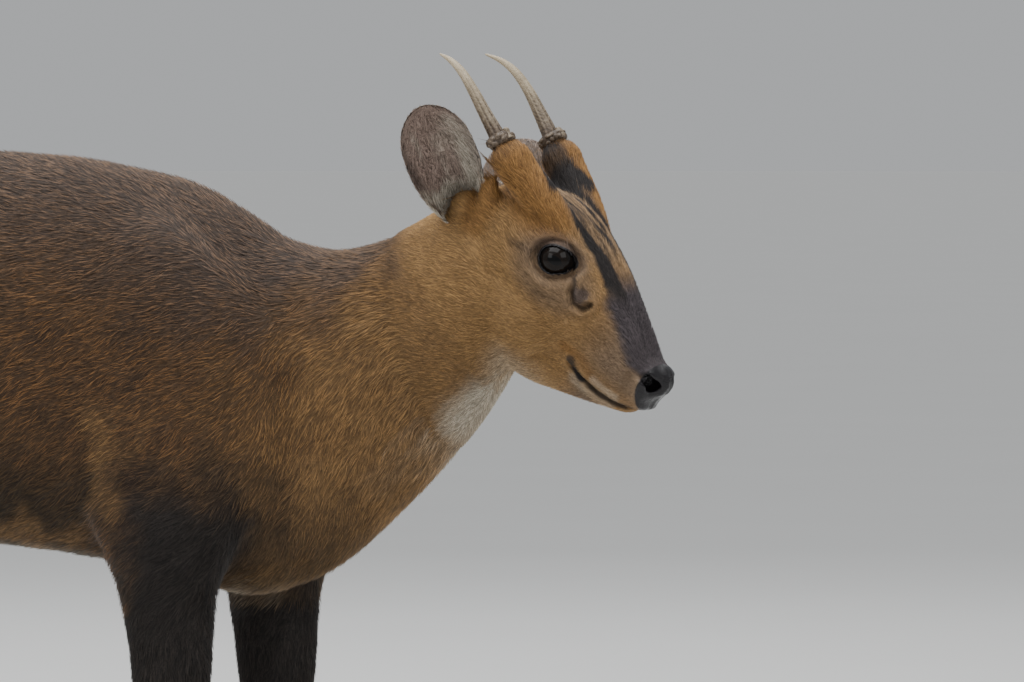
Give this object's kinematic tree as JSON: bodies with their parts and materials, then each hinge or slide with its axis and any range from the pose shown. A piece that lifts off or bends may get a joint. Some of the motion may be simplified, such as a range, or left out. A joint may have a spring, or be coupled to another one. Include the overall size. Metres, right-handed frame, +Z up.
{
  "type": "muntjac",
  "caption": "Small deer, a muntjac buck, standing calmly with short curved spike antlers on furred stalks and its head turned a little to its right.",
  "frame": {"origin": "bottom centre of the whole animal's bounding box, on the floor under the belly", "axes": "+X from rump to head, +Y to the animal's left, +Z up"},
  "size_m": [0.8584, 0.1858, 0.5807],
  "materials": {
    "coat": "short dense fur, rusty brown with a darker back",
    "leg_coat": "very short fur, charcoal brown",
    "nose": "bare black skin, moist",
    "eye": "polished, almost black",
    "antler": "bone, ivory at the tips and grey brown at the rough base",
    "hoof": "smooth dark horn"
  },
  "bodies": {
    "root": {"antler_left": "antler", "antler_right": "antler", "dewclaw_fore_left_left_toe": "hoof", "dewclaw_fore_left_right_toe": "hoof", "dewclaw_fore_right_left_toe": "hoof", "dewclaw_fore_right_right_toe": "hoof", "dewclaw_hind_left_left_toe": "hoof", "dewclaw_hind_left_right_toe": "hoof", "dewclaw_hind_right_left_toe": "hoof", "dewclaw_hind_right_right_toe": "hoof", "ear_left": "coat", "ear_right": "coat", "eye_left": "eye", "eye_right": "eye", "foreleg_lower_left": "leg_coat", "foreleg_lower_right": "leg_coat", "foreleg_upper_left": "leg_coat", "foreleg_upper_right": "leg_coat", "head": "coat", "hindleg_lower_left": "leg_coat", "hindleg_lower_right": "leg_coat", "hindleg_upper_left": "leg_coat", "hindleg_upper_right": "leg_coat", "hoof_fore_left_left_toe": "hoof", "hoof_fore_left_right_toe": "hoof", "hoof_fore_right_left_toe": "hoof", "hoof_fore_right_right_toe": "hoof", "hoof_hind_left_left_toe": "hoof", "hoof_hind_left_right_toe": "hoof", "hoof_hind_right_left_toe": "hoof", "hoof_hind_right_right_toe": "hoof", "neck": "coat", "nose_pad": "nose", "tail": "coat", "torso": "coat"}
  },
  "joints": []
}
